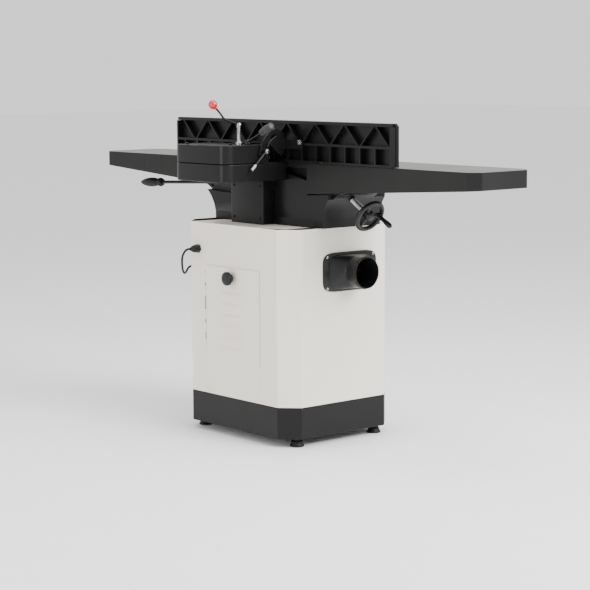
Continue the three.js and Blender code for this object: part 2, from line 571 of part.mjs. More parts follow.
// ---- mains lead: from the rear gland, through a clip on the infeed end, down to a coil behind the cabinet ----
const CORD = { r: 3.3, gland: [-163, 548], coil: [-345, 110], coilR: 35, width: 12.5, high: 14, plugX: -383.2 };
const LEAD = [
  [-163, -243.1, 548], [-163, -250.5, 548], [-168, -257, 542], [-181, -257, 524], [-196, -247, 500],
  [-214, -231, 479], [-233, -211, 468], [-250, -191, 471], [-258.5, -174, 482], [-258.5, -150, 484],
  [-256.5, -128, 474], [-256.5, -114, 456], [-256.5, -110, 436], [-256.5, -110, 400], [-256.5, -108, 330],
  [-256.5, -104, 260], [-256.5, -100, 190], [-256.5, -96, 120], [-257.5, -92, 70], [-260.5, -86, 36],
  [-267.5, -76, 14], [-280.5, -62, 5], [-294, -44, 3.7], [-300, -18, 3.7], [-303.5, 30, 3.7],
  [-306, 72, 3.7], [-306.8, 110, 3.7],
];

function makeCord(group) {
  const points = LEAD.map((p) => new THREE.Vector3(...p));
  const section = arc(0, 0, CORD.r, 0, 360, 8).slice(0, -1).map(([a, b]) => new THREE.Vector2(a, b));
  const geometry = new THREE.ExtrudeGeometry(new THREE.Shape(section), {
    steps: 64, bevelEnabled: false, extrudePath: new THREE.CatmullRomCurve3(points),
  });
  const [cx, cy] = CORD.coil;
  const ring = { inner: CORD.coilR - CORD.width / 2, outer: CORD.coilR + CORD.width / 2 };
  const coil = turned([[ring.inner, 0], [ring.outer, 0], [ring.outer, CORD.high], [ring.inner, CORD.high], [ring.inner, 0]],
    [cx, cy, GAP], [0, 0, 1], 32);
  const clear = prism("z", arc(cx, cy, ring.outer + GAP, 0, 360, 32).slice(0, -1), -5, 60);
  add(group, "cord_lead", cut(solidOf(geometry), clear), rubber);
  add(group, "cord_coil", coil, rubber);
  const plug = { x: CORD.plugX, z: 13, heel: 68, body: 30, tip: 12 };
  add(group, "cord_plug", join(
    cut(rod([plug.x, 98, 10.6], [plug.x, plug.heel - 1, plug.z], CORD.r), clear),
    box(plug.x - 14, plug.x + 14, plug.body, plug.heel, plug.z - 12.5, plug.z + 12.5),
    box(plug.x - 8, plug.x + 8, plug.tip, plug.body + 1, plug.z - 8, plug.z + 6),
  ), rubber);
  const [gx, gz] = CORD.gland;
  add(group, "cord_gland", turned(
    [[0, 0], [13.5, 0], [13.5, 10], [12, 12], [12, 22], [8, 26], [4.5, 33 - GAP], [0, 33 - GAP]],
    [gx, -CABINET.y - GAP, gz], [0, -1, 0],
  ), plastic);
  const clipX = -CABINET.x - GAP;
  const hole = bar("z", clipX - 6.7, -110, CORD.r + GAP + 0.1, 0, 600, 16);
  add(group, "cord_clip", cut(box(clipX - 13, clipX, -118, -102, 414, 426), hole), plastic);
}

// ---- the whole machine ----
const moving = () => {
  const group = new THREE.Group();
  machine.add(group);
  return group;
};
const stand = moving();
makeCabinet(stand);
makeDoor(moving());
makeDustPort(stand);
makeBase(stand);
makeTable(moving(), "infeed_table", -1);
makeTable(moving(), "outfeed_table", 1);
makeDrive(stand, moving(), moving());
makeGuards(stand);
makeCarriage(moving(), moving(), moving(), moving());
makeFence(moving());
makeInfeedLever(moving());
makeHandwheel(moving(), moving());
makeSwitch(stand, moving(), moving());
makeCutterGuard(moving(), stand);
makeCord(stand);
machine.position.set(SHIFT.x, SHIFT.y, 0);

export default machine;
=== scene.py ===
import json
import math

import bmesh
import bpy
from mathutils import Matrix, Vector


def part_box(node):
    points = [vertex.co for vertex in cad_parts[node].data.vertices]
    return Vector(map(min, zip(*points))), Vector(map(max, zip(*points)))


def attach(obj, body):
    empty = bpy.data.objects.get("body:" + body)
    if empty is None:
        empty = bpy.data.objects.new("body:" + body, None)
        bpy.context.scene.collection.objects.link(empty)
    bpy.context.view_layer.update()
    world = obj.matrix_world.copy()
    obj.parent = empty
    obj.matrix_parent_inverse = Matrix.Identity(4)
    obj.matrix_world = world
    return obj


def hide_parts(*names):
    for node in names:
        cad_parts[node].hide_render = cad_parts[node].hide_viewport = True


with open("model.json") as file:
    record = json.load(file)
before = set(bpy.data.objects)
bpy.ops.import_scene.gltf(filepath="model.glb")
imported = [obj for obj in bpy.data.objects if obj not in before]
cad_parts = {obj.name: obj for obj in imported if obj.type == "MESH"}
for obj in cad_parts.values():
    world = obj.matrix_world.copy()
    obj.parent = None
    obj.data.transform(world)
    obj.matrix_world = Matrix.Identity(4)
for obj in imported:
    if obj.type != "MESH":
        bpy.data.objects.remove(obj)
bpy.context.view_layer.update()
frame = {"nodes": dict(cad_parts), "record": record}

# ---- places: millimetres about the middle of the cabinet's footprint, turned into the frame's metres ----
PLINTH_LOW, PLINTH_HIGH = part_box("plinth")
MIDDLE = (PLINTH_LOW + PLINTH_HIGH) / 2
MM = 0.001
BODY_OF = {node: body for body, nodes in frame["record"]["behaviour"]["bodies"].items() for node in nodes}
SLOT_OF = {part["node"]: part["material_slot"] for part in frame["record"]["subparts"]}
TABLE_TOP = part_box("outfeed_table")[1].z
OUTFEED = (1, 0, 0)
REAR, FRONT = (0, -1, 0), (0, 1, 0)
UP, DOWN = (0, 0, 1), (0, 0, -1)
SHARP = math.radians(32)  # edges sharper than this are shaded as edges, and rounded


def at(x, y, z):
    return Vector((MIDDLE.x + x * MM, MIDDLE.y + y * MM, z * MM))


def middle(node, **fixed):
    """The middle of a node's box, with any coordinate that is given put in its place."""
    low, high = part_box(node)
    centre = (low + high) / 2
    for axis, value in fixed.items():
        setattr(centre, axis, value)
    return centre


def circle(steps):
    return [2 * math.pi * k / steps for k in range(steps)]


# ---- materials ----
class Graph:
    """A short way to build a node material around one Principled shader."""

    def __init__(self, name):
        self.material = bpy.data.materials.new(name)
        self.material.use_nodes = True
        self.tree = self.material.node_tree
        self.shader = self.tree.nodes["Principled BSDF"]
        self.place = self.new("ShaderNodeTexCoord").outputs["Object"]

    def new(self, kind, **inputs):
        node = self.tree.nodes.new(kind)
        for key, value in inputs.items():
            node.inputs[key.replace("_", " ")].default_value = value
        return node

    def link(self, source, target):
        self.tree.links.new(source, target)

    def stretched(self, scale):
        mapping = self.new("ShaderNodeMapping", Scale=scale)
        self.link(self.place, mapping.inputs["Vector"])
        return mapping.outputs["Vector"]

    def noise(self, scale, detail=4.0, vector=None):
        node = self.new("ShaderNodeTexNoise", Scale=scale, Detail=detail)
        self.link(vector or self.place, node.inputs["Vector"])
        return node.outputs["Fac"]

    def ranged(self, value, low, high, out_low=0.0, out_high=1.0):
        node = self.new("ShaderNodeMapRange")
        node.inputs["From Min"].default_value = low
        node.inputs["From Max"].default_value = high
        node.inputs["To Min"].default_value = out_low
        node.inputs["To Max"].default_value = out_high
        self.link(value, node.inputs["Value"])
        return node.outputs["Result"]

    def mixed(self, factor, first, second):
        node = self.new("ShaderNodeMix")
        node.data_type = "RGBA"
        for socket, value in ((node.inputs[6], first), (node.inputs[7], second)):
            if isinstance(value, tuple):
                socket.default_value = (*value, 1)
            else:
                self.link(value, socket)
        self.link(factor, node.inputs[0])
        return node.outputs[2]

    def bump(self, height, strength, distance):
        node = self.new("ShaderNodeBump", Strength=strength, Distance=distance)
        self.link(height, node.inputs["Height"])
        self.link(node.outputs["Normal"], self.shader.inputs["Normal"])

    def set(self, name, value):
        if isinstance(value, (int, float)):
            self.shader.inputs[name].default_value = value
        else:
            self.link(value, self.shader.inputs[name])


def surface(name, colour, shade, rough, grain, depth, metal=0.0, coat=0.0, shine=0.5):
    """Colour drifting to a shade of itself, roughness that varies, and a bump of the grain's size."""
    g = Graph(name)
    drift = g.ranged(g.noise(5.0), 0.35, 0.7)
    base = g.mixed(drift, colour, tuple(c * shade for c in colour))
    specks = g.ranged(g.noise(grain * 1.7, 2.0), 0.55, 0.75, 0.0, 0.5)
    base = g.mixed(specks, base, tuple(c * (shade - 0.12) for c in colour))
    g.link(base, g.shader.inputs["Base Color"])
    g.set("Roughness", g.ranged(g.noise(14.0, 6.0), 0.3, 0.75, rough - 0.03, rough + 0.04))
    g.set("Specular IOR Level", shine)
    g.set("Metallic", metal)
    g.set("Coat Weight", coat)
    g.bump(g.noise(grain, 5.0), depth, 0.0006)
    return g.material


def table_iron(name):
    """Ground iron on top, with fine lengthwise grinding lines, and black enamel on the sides and below."""
    g = Graph(name)
    geometry = g.new("ShaderNodeNewGeometry")
    split = g.new("ShaderNodeSeparateXYZ")
    g.link(geometry.outputs["Normal"], split.inputs["Vector"])
    top = g.ranged(split.outputs["Z"], 0.6, 0.8)
    lines = g.noise(1.0, 3.0, g.stretched((6.0, 900.0, 900.0)))
    stain = g.noise(7.0, 6.0)
    bright = g.mixed(g.ranged(lines, 0.3, 0.7), (0.15, 0.145, 0.14), (0.22, 0.215, 0.205))
    bright = g.mixed(g.ranged(stain, 0.5, 0.8, 0.0, 0.35), bright, (0.11, 0.1, 0.088))
    enamel = g.mixed(g.ranged(g.noise(9.0), 0.35, 0.7), (0.0075, 0.007, 0.0068), (0.0055, 0.0052, 0.005))
    g.link(g.mixed(top, enamel, bright), g.shader.inputs["Base Color"])
    g.link(g.ranged(top, 0.0, 1.0, 0.0, 0.9), g.shader.inputs["Metallic"])
    g.set("Roughness", g.ranged(stain, 0.3, 0.8, 0.42, 0.52))
    g.set("Specular IOR Level", 0.22)
    g.bump(g.noise(420.0, 4.0), 0.25, 0.0005)
    return g.material


MATERIALS = {
    "white_paint": surface("powder_coat", (0.79, 0.735, 0.655), 0.96, 0.40, 900.0, 0.12),
    "black_paint": surface("cast_enamel", (0.0065, 0.006, 0.0062), 0.85, 0.3, 330.0, 0.22, shine=0.2),
    "grey_paint": surface("motor_enamel", (0.10, 0.105, 0.115), 0.85, 0.42, 500.0, 0.3),
    "guard_paint": surface("guard_enamel", (0.50, 0.045, 0.03), 0.85, 0.35, 420.0, 0.25),
    "ground_iron": table_iron("table_iron"),
    "raw_iron": surface("raw_iron", (0.27, 0.265, 0.26), 0.75, 0.42, 420.0, 0.4, metal=0.85),
    "galvanised": surface("galvanised", (0.45, 0.47, 0.49), 0.7, 0.38, 60.0, 0.1, metal=0.9),
    "steel": surface("bright_steel", (0.34, 0.335, 0.33), 0.88, 0.26, 700.0, 0.1, metal=1.0),
    "black_plastic": surface("black_plastic", (0.008, 0.008, 0.0084), 0.85, 0.34, 1300.0, 0.2, shine=0.26),
    "grey_plastic": surface("grey_plastic", (0.022, 0.023, 0.026), 0.85, 0.5, 1100.0, 0.25),
    "rubber": surface("rubber", (0.008, 0.008, 0.008), 0.8, 0.55, 800.0, 0.25, shine=0.25),
    "red_gloss": surface("red_gloss", (0.50, 0.010, 0.008), 0.92, 0.12, 40.0, 0.004, coat=0.3),
    "green_gloss": surface("green_gloss", (0.02, 0.24, 0.07), 0.92, 0.2, 150.0, 0.02, coat=0.4),
}


# ---- building pieces ----
WELD = 2e-6
FLAT = math.radians(0.6)


def finish_piece(obj, node, slot=None, replace=True, bevel=0.0, segments=2):
    """Gives a piece its material, its body and rounded edges. With replace it stands for its CAD node."""
    chosen = slot or SLOT_OF[node]
    obj.data.materials.clear()
    obj.data.materials.append(MATERIALS[chosen])
    if bevel:
        modifier = obj.modifiers.new("rounded", "BEVEL")
        modifier.width = bevel
        modifier.segments = segments
        modifier.limit_method = "ANGLE"
        modifier.angle_limit = SHARP
        modifier.harden_normals = True
    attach(obj, BODY_OF[node])
    if replace:
        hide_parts(node)
    return obj


def mesh_piece(name, bm):
    mesh = bpy.data.meshes.new(name)
    bmesh.ops.recalc_face_normals(bm, faces=bm.faces)
    for face in bm.faces:
        face.smooth = True
    for edge in bm.edges:
        edge.smooth = len(edge.link_faces) == 2 and edge.calc_face_angle(0) < SHARP
    bm.to_mesh(mesh)
    bm.free()
    obj = bpy.data.objects.new(name, mesh)
    bpy.context.scene.collection.objects.link(obj)
    return obj


def refined(node, bevel=0.0012, segments=2):
    """A copy of a CAD node whose flat faces are whole again and whose edges are rounded."""
    bm = bmesh.new()
    bm.from_mesh(frame["nodes"][node].data)
    bmesh.ops.remove_doubles(bm, verts=bm.verts, dist=WELD)
    bmesh.ops.dissolve_limit(bm, angle_limit=FLAT, verts=bm.verts, edges=bm.edges)
    return finish_piece(mesh_piece(node + "_fine", bm), node, bevel=bevel, segments=segments)


def bridge(bm, rings, close=False):
    """Joins each ring of vertices to the next with quads, and the last to the first if close is true."""
    for near, far in zip(rings, rings[1:] + ([rings[0]] if close else [])):
        count = len(near)
        for k in range(count):
            bm.faces.new([near[k], near[(k + 1) % count], far[(k + 1) % count], far[k]])


def turned_into(bm, profile, base, direction, steps=48):
    """Adds a turned solid to bm. Profile points are (radius, distance along direction), in millimetres."""
    side = Vector(direction).normalized()
    across = side.orthogonal().normalized()
    up = side.cross(across)
    rings = []
    for radius, distance in profile:
        spot = base + side * distance * MM
        if radius < 1e-6:
            rings.append([bm.verts.new(spot)])
            continue
        reach = radius * MM
        spokes = [across * math.cos(a) + up * math.sin(a) for a in circle(steps)]
        rings.append([bm.verts.new(spot + spoke * reach) for spoke in spokes])
    for low, high in zip(rings, rings[1:]):
        for k in range(steps):
            j = (k + 1) % steps
            corners = (low[k % len(low)], low[j % len(low)], high[j % len(high)], high[k % len(high)])
            corners = list(dict.fromkeys(corners))
            if len(corners) > 2:
                bm.faces.new(corners)


def turned(name, node, profile, base, direction, bevel=0.0006, slot=None, replace=True, steps=48):
    bm = bmesh.new()
    turned_into(bm, profile, base, direction, steps)
    return finish_piece(mesh_piece(name, bm), node, slot, replace, bevel)


def swept_into(bm, points, radius, steps=20):
    """Adds a capped round bar along points, in frame metres. Radius may list one value per point, in mm."""
    radii = radius if isinstance(radius, list) else [radius] * len(points)
    normal = (points[1] - points[0]).orthogonal().normalized()
    rings = []
    for i, spot in enumerate(points):
        before, after = points[max(i - 1, 0)], points[min(i + 1, len(points) - 1)]
        along = (after - before).normalized()
        normal = (normal - along * normal.dot(along)).normalized()
        side = along.cross(normal)
        reach = radii[i] * MM
        spokes = [normal * math.cos(a) + side * math.sin(a) for a in circle(steps)]
        rings.append([bm.verts.new(spot + spoke * reach) for spoke in spokes])
    bridge(bm, rings)
    bm.faces.new(rings[0][::-1])
    bm.faces.new(rings[-1])


def smooth_path(points, per_span=8):
    """Catmull-Rom points through the given ones."""
    ends = [2 * points[0] - points[1], *points, 2 * points[-1] - points[-2]]
    path = []
    for a, b, c, d in zip(ends, ends[1:], ends[2:], ends[3:]):
        for k in range(per_span):
            t = k / per_span
            bend = (2 * a - 5 * b + 4 * c - d) * t * t + (3 * b - a - 3 * c + d) * t ** 3
            path.append(0.5 * (2 * b + (c - a) * t + bend))
    return [*path, points[-1]]


def hex_bolts(name, node, places, direction, size=8.0, slot="steel"):
    """Hexagon-headed bolts on washers. Places are in frame metres, on the face they clamp."""
    wide, top = size * 0.82, size * 0.65
    washer = [(0, 0), (size, 0), (size, 1.2), (0, 1.2)]
    head = [(0, 1.25), (wide, 1.25), (wide, top), (size * 0.7, top + 0.8), (0, top + 0.8)]
    bm = bmesh.new()
    for place in places:
        turned_into(bm, washer, place, direction, 24)
        turned_into(bm, head, place, direction, 6)
    return finish_piece(mesh_piece(name, bm), node, slot, False, 0.0003)


def pan_screws(name, node, places, direction, size=4.0, slot="steel"):
    """Domed screws with a dished middle. Places are in frame metres, on the face they hold."""
    shares = ((0, 0), (1, 0), (1, 0.25), (0.8, 0.5), (0.45, 0.62), (0.3, 0.35), (0, 0.3))
    dome = [(size * wide, size * high) for wide, high in shares]
    bm = bmesh.new()
    for place in places:
        turned_into(bm, dome, place, direction, 20)
    return finish_piece(mesh_piece(name, bm), node, slot, False)


# ---- camera, floor and light ----
CAMERA_PLACE = (4085, -3420, 1096)
CAMERA_DEGREES = (49.84, 7.39, -0.30)
CAMERA_LENS = 109.5


def make_camera():
    """Looks at the machine's rear and outfeed end, from a little above the tables."""
    azimuth, elevation, roll = (math.radians(v) for v in CAMERA_DEGREES)
    level = Vector((math.sin(azimuth), -math.cos(azimuth), 0))
    back = level * math.cos(elevation) + Vector(UP) * math.sin(elevation)
    right = (-back).cross(Vector(UP)).normalized()
    up = right.cross(-back)
    turned_right = right * math.cos(roll) + up * math.sin(roll)
    turned_up = up * math.cos(roll) - right * math.sin(roll)
    data = bpy.data.cameras.new("camera")
    data.sensor_width = 36.0
    data.lens = CAMERA_LENS
    camera = bpy.data.objects.new("camera", data)
    camera.matrix_world = Matrix((turned_right, turned_up, back)).transposed().to_4x4()
    camera.location = at(*CAMERA_PLACE)
    data.clip_end = 60.0
    bpy.context.scene.collection.objects.link(camera)
    bpy.context.scene.camera = camera


def make_floor():
    bm = bmesh.new()
    bmesh.ops.create_grid(bm, x_segments=8, y_segments=8, size=30.0)
    floor = mesh_piece("floor", bm)
    floor.data.materials.append(surface("pale_floor", (0.93, 0.93, 0.93), 0.99, 0.6, 30.0, 0.02))


def make_light(name, place, size, power, target=(0, -50, 500), colour=(1, 1, 1)):
    data = bpy.data.lights.new(name, "AREA")
    data.shape = "DISK"
    data.size = size
    data.energy = power
    data.color = colour
    light = bpy.data.objects.new(name, data)
    light.location = at(*place)
    light.rotation_mode = "QUATERNION"
    light.rotation_quaternion = (at(*target) - light.location).to_track_quat("-Z", "Y")
    bpy.context.scene.collection.objects.link(light)


def make_lights():
    world = bpy.data.worlds.new("studio")
    world.use_nodes = True
    world.node_tree.nodes["Background"].inputs["Color"].default_value = (1, 1, 1, 1)
    world.node_tree.nodes["Background"].inputs["Strength"].default_value = 1.22
    bpy.context.scene.world = world
    make_light("key", (3300, 600, 2600), 2.2, 250, colour=(0.98, 0.99, 1.0))
    make_light("fill", (-1200, -3600, 1900), 2.0, 30, colour=(1.0, 0.97, 0.93))
    make_light("strip", (500, -3600, 1000), 0.6, 26, target=(60, -250, 800))
    make_light("top", (200, -300, 3400), 2.4, 60)


# ---- mains lead: gland, clip, coil behind the cabinet, plug ----
CORD_R = 3.3
COIL = {"x": -345, "y": 110, "outer": 38.2, "inner": 31.4, "low": 3.7, "rise": 6.7}
LEAD = [
    (-163, -243.1, 548), (-163, -250.5, 548), (-168, -257, 542), (-181, -257, 524), (-196, -247, 500),
    (-214, -231, 479), (-233, -211, 468), (-250, -191, 471), (-258.5, -174, 482), (-258.5, -150, 484),
    (-256.5, -128, 474), (-256.5, -114, 456), (-256.5, -110, 436), (-256.5, -110, 400),
    (-256.5, -108, 330), (-256.5, -104, 260), (-256.5, -100, 190), (-256.5, -96, 120), (-257.5, -92, 70),
    (-260.5, -86, 36), (-267.5, -76, 14), (-280.5, -62, 5), (-294, -44, 3.7), (-300, -18, 3.7),
    (-303.5, 30, 3.7), (-306, 72, 3.7),
]
PLUG_NECK = [(-383.2, 96, 10.4), (-383.2, 82, 11.4), (-383.2, 70, 13)]
COIL_TURNS = 3.5


def coil_points():
    """Turns that lie side by side and then on each other: outer, inner, then inner and outer on top."""
    lanes = [(COIL["outer"], 0), (COIL["inner"], 0), (COIL["inner"], 1), (COIL["outer"], 1)]
    per_turn = 24
    change = 0.25
    points = []
    for k in range(int(COIL_TURNS * per_turn) + 1):
        turn = k / per_turn
        lane = min(int(turn), len(lanes) - 1)
        into = turn - lane
        blend = 0.0
        if into > 1 - change and lane + 1 < len(lanes):
            t = (into - 1 + change) / change
            blend = t * t * (3 - 2 * t)
        nearer, further = lanes[lane], lanes[min(lane + 1, len(lanes) - 1)]
        radius = nearer[0] + (further[0] - nearer[0]) * blend
        layer = nearer[1] + (further[1] - nearer[1]) * blend
        angle = 2 * math.pi * turn
        points.append(at(COIL["x"] + radius * math.cos(angle), COIL["y"] + radius * math.sin(angle),
                         COIL["low"] + layer * COIL["rise"]))
    return points


def make_cord():
    lead = [at(*p) for p in LEAD]
    path = smooth_path([*lead, *coil_points(), *[at(*p) for p in PLUG_NECK]], 3)
    curve = bpy.data.curves.new("mains_lead", "CURVE")
    curve.dimensions = "3D"
    curve.bevel_depth = CORD_R * MM
    curve.bevel_resolution = 5
    curve.use_fill_caps = True
    spline = curve.splines.new("POLY")
    spline.points.add(len(path) - 1)
    for point, place in zip(spline.points, path):
        point.co = (*place, 1)
    cord = bpy.data.objects.new("mains_lead", curve)
    bpy.context.scene.collection.objects.link(cord)
    finish_piece(cord, "cord_lead")
    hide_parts("cord_coil")
    extras = [*make_plug(path[-1]), make_tie()]


def make_plug(end):
    """A moulded three-blade plug with a tapered neck, lying on the floor at the end of the lead."""
    low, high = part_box("cord_plug")
    heel, tip, centre_z = end.y - 2 * MM, low.y, (low.z + high.z) / 2
    body_end = tip + 18 * MM
    bm = bmesh.new()
    swept_into(bm, [Vector((end.x, heel + d * MM, centre_z)) for d in (1, -4, -10)], [4.4, 5.5, 8.5], 24)
    section = [(math.cos(a), math.sin(a)) for a in circle(32)]
    stations = [(0.0, 0.55), (0.12, 0.8), (0.4, 0.95), (0.8, 1.0), (0.95, 0.98), (1.0, 0.92)]
    rings = []
    for share, swell in stations:
        y = heel - 8 * MM + (body_end - heel + 8 * MM) * share
        ring = []
        for c, d in section:
            wide = math.copysign(abs(c) ** 0.6, c) * 13.5 * swell
            tall = math.copysign(abs(d) ** 0.6, d) * 11.8 * swell
            ring.append(bm.verts.new((end.x + wide * MM, y, centre_z + tall * MM)))
        rings.append(ring)
    bridge(bm, rings)
    bm.faces.new(rings[0])
    bm.faces.new(rings[-1])
    plug = finish_piece(mesh_piece("plug_body", bm), "cord_plug", bevel=0.0006)
    blades = bmesh.new()
    blade_size = Matrix.Diagonal((1.5 * MM, 18 * MM, 6.3 * MM, 1))
    for side in (-1, 1):
        matrix = Matrix.Translation((end.x + side * 6.3 * MM, body_end - 8.9 * MM, centre_z + 2 * MM))
        bmesh.ops.create_cube(blades, size=1.0, matrix=matrix @ blade_size)
    earth_pin = [(0, 0), (2.4, 0), (2.4, 16), (1.2, 18), (0, 18)]
    turned_into(blades, earth_pin, Vector((end.x, body_end, centre_z - 6 * MM)), REAR, 20)
    pins = finish_piece(mesh_piece("plug_blades", blades), "cord_plug", "steel", False, 0.0003)
    return [plug, pins]


def make_tie():
    """A hook-and-loop strap round the coil's turns."""
    bm = bmesh.new()
    centre = at(COIL["x"] - (COIL["outer"] + COIL["inner"]) / 2, COIL["y"], COIL["low"] + COIL["rise"] / 2)
    half_w, half_h, width = 7.6, 7.2, 6.0
    outline = [(-half_w, -half_h + 3), (-half_w + 3, -half_h), (half_w - 3, -half_h), (half_w, -half_h + 3),
               (half_w, half_h - 3), (half_w - 3, half_h), (-half_w + 3, half_h), (-half_w, half_h - 3)]
    loops = []
    for grow, y in ((0, -width), (0.9, -width), (0.9, width), (0, width)):
        scale = 1 + grow / half_w
        corners = [Vector((a * scale, y, max(b * scale, -half_h))) * MM for a, b in outline]
        loops.append([bm.verts.new(centre + corner) for corner in corners])
    bridge(bm, loops, close=True)
    return finish_piece(mesh_piece("coil_tie", bm), "cord_coil", "rubber", False)


# ---- cabinet ----
def make_cabinet():
    for part in ("infeed_shell", "outfeed_shell", "rear_panel", "front_panel"):
        refined(f"cabinet_{part}", bevel=0.0022, segments=3)
    for node in ("cabinet_top_plate", "motor_mount", "chip_chute", "door_hinge_leaf_1", "door_hinge_leaf_2"):
        refined(node, bevel=0.0004, segments=1)
    refined("plinth", bevel=0.002, segments=3)
    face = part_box("cabinet_rear_panel")[0].y
    rows = (133, 611)
    lift, sunk = 0.2 * MM, 2.0 * MM
    screws = [Vector((at(x, 0, 0).x, face - lift, z * MM)) for x in (-110, 110) for z in rows]
    pan_screws("rear_panel_screws", "cabinet_rear_panel", screws, REAR, 3.6, "white_paint")
    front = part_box("cabinet_front_panel")[1].y
    screws = [Vector((at(x, 0, 0).x, front - sunk, z * MM)) for x in (-110, 110) for z in rows]
    pan_screws("front_panel_screws", "cabinet_front_panel", screws, FRONT, 3.6, "white_paint")


def make_feet():
    """A rubber pad with a waisted cup, on a threaded stud with its nut against the plinth."""
    for k in range(1, 5):
        node = f"levelling_foot_{k}"
        base = middle(node, z=0.0)
        profile = [(0, 0), (19.5, 0), (21, 1.5), (21, 4), (19, 6), (16.5, 12), (15.5, 16), (14.5, 17),
                   (0, 17)]
        turned(node + "_pad", node, profile, base, UP, 0.0006)
        bm = bmesh.new()
        stud = [(0, 17.1)]
        for turn in range(5):
            z = 17.1 + turn * 1.5
            stud += [(5.6, z), (5.0, z + 0.75)]
        stud += [(5.6, 24.6), (0, 24.6)]
        turned_into(bm, stud, base, UP, 24)
        nut = [(6.2, 20.4), (10, 20.4), (10.6, 21), (10.6, 24), (10, 24.6), (6.2, 24.6), (6.2, 20.4)]
        turned_into(bm, nut, base, UP, 6)
        finish_piece(mesh_piece(node + "_stud", bm), node, "steel", False)


LOUVRES = {"count": 6, "first": 252.6, "pitch": 32.8, "half": 52.0, "depth": 5.6, "tall": 13.5}


def make_louvres(outer):
    """Pressed louvres on the door's outer face: each is a smooth hood over its slot."""
    bm = bmesh.new()
    half, depth, tall = LOUVRES["half"], LOUVRES["depth"], LOUVRES["tall"]
    across, rise = 26, 8
    for k in range(LOUVRES["count"]):
        bottom = LOUVRES["first"] + LOUVRES["pitch"] * k
        rows = []
        for i in range(across + 1):
            u = -1 + 2 * i / across
            x = at(u * half, 0, 0).x
            swell = (1 - abs(u) ** 6) ** 0.5
            row = []
            for j in range(rise + 1):
                v = j / rise
                out = depth * swell * math.cos(v * math.pi / 2) ** 0.8
                row.append(bm.verts.new((x, outer - (out + 0.02) * MM, (bottom + v * tall) * MM)))
            row.append(bm.verts.new((x, outer + 0.4 * MM, (bottom + tall) * MM)))
            row.append(bm.verts.new((x, outer + 0.4 * MM, bottom * MM)))
            rows.append(row)
        bridge(bm, rows)
        bm.faces.new(rows[0])
        bm.faces.new(rows[-1])
    finish_piece(mesh_piece("door_louvres", bm), "access_door", replace=False)


def make_door():
    gap, leaf = 0.3, 3
    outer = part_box("cabinet_rear_panel")[0].y - gap * MM - leaf * MM
    refined("access_door", bevel=0.0007)
    refined("door_hinge_pin", bevel=0.0003, segments=1)
    make_louvres(outer)
    shank = [(0, -11.7), (8.6, -11.7), (9, -11.3), (9, -5.4), (5, -5.2), (5, 3.6), (9.5, 3.6), (12.2, 4.6)]
    head = [(13.4, 8.5), (17, 12), (19.8, 14.2), (20.5, 16.5), (20.4, 22), (18.6, 24.8), (15, 26.3)]
    dish = [(6.4, 26.8), (5.8, 26.1), (0, 25.9)]
    turned("door_knob_fine", "door_knob", shank + head + dish, middle("door_knob", y=outer), REAR, 0.0005,
           steps=72)


# ---- dust port: a flange with bowed sides, a hood that narrows to the hose tube, and a finger guard ----
def port_ring(bm, centre, x, wide, tall, squareness, steps=72):
    """A closed ring in the plane across X: squareness 1 is an ellipse and smaller is nearer a rectangle."""
    ring = []
    for a in circle(steps):
        c, s = math.cos(a), math.sin(a)
        y = math.copysign(abs(c) ** squareness, c) * wide
        z = math.copysign(abs(s) ** squareness, s) * tall
        ring.append(bm.verts.new((x, centre.y + y * MM, centre.z + z * MM)))
    return ring


PORT_Y, PORT_Z = 22.4, 498


def make_dust_port():
    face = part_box("dust_port")[0].x
    centre = Vector((face, at(0, PORT_Y, 0).y, PORT_Z * MM))
    bm = bmesh.new()
    # distance out in mm, half width, half height, squareness
    stations = [
        (0, 102, 56.8, 0.36), (3.5, 102, 56.8, 0.36), (4.5, 100.5, 55.5, 0.36), (5, 80, 50.5, 0.4),
        (10, 75, 49, 0.42), (16, 66, 49, 0.55), (26, 54, 48.2, 0.8), (32, 49, 47.6, 0.95), (36, 46.5, 46.5,
            1),
        (40, 46, 46, 1), (66, 46, 46, 1), (66.8, 47.3, 47.3, 1), (70.5, 47.3, 47.3, 1), (71.2, 46, 46, 1),
        (75.5, 46, 46, 1), (76.5, 45.2, 45.2, 1), (76.5, 43.6, 43.6, 1), (75.7, 43, 43, 1), (8, 43, 43, 1),
        (0, 43, 43, 1),
    ]
    rings = [port_ring(bm, centre, face + out * MM, wide, tall, square) for out, wide, tall,
             square in stations]
    bridge(bm, rings, close=True)
    finish_piece(mesh_piece("dust_port_body", bm), "dust_port")
    bm = bmesh.new()
    for spin in (0, math.pi / 2):
        direction = Vector((0, math.cos(spin), math.sin(spin)))
        swept_into(bm, [centre + direction * d * MM + Vector((4 * MM, 0, 0)) for d in (-43.2, 43.2)], 2.4, 12)
    for radius in (14, 28):
        inner, outer = radius - 1.8, radius + 1.8
        hoop = [(inner, 2.4), (outer, 2.4), (outer, 5.8), (inner, 5.8), (inner, 2.4)]
        turned_into(bm, hoop, centre, OUTFEED, 48)
    finish_piece(mesh_piece("dust_port_guard", bm), "dust_port", replace=False)
    corners = [centre + Vector((0.0047, y * MM, z * MM)) for y in (-88, 88) for z in (-45, 45)]
    pan_screws("dust_port_screws", "dust_port", corners, OUTFEED, 4.6)


